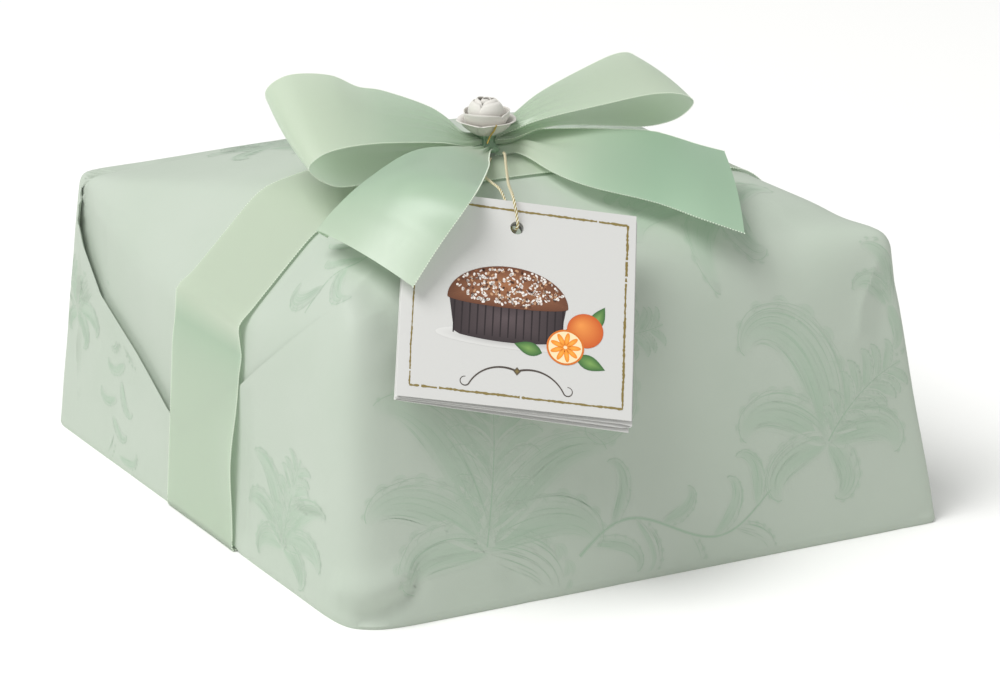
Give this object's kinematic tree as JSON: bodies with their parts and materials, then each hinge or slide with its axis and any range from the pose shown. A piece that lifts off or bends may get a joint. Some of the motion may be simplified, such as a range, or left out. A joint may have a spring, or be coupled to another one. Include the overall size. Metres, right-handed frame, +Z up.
{
  "type": "gift-wrapped colomba easter bread pack",
  "caption": "Soft paper pack with V-folded ends, tied once round with wide satin ribbon, with a bow, a white rose and a folded gift tag on a cord.",
  "frame": {"origin": "middle of the bounding box, on the ground", "axes": "+Z up; the front with the gift tag faces -Y; the ribbon runs round the pack along X"},
  "size_m": [0.3081, 0.312, 0.191],
  "materials": {
    "printed_paper": "coated paper, light green, with a slightly darker tone-on-tone ornament",
    "green_satin": "satin ribbon, pale green, soft sheen",
    "white_petals": "white fabric petals, matt",
    "printed_card": "light card with a brushed gold-brown border",
    "gold_and_white_thread": "twisted gold and white cord",
    "gold_wire": "thin gold wire"
  },
  "bodies": {
    "root": {"wrap": "printed_paper", "ribbon_band": "green_satin", "bow_loop_left": "green_satin", "bow_loop_right": "green_satin", "bow_tail_left": "green_satin", "bow_tail_right": "green_satin", "bow_knot": "green_satin", "rose": "white_petals", "tie_wire": "gold_wire", "gift_tag": "printed_card", "tag_cord": "gold_and_white_thread"}
  },
  "joints": []
}
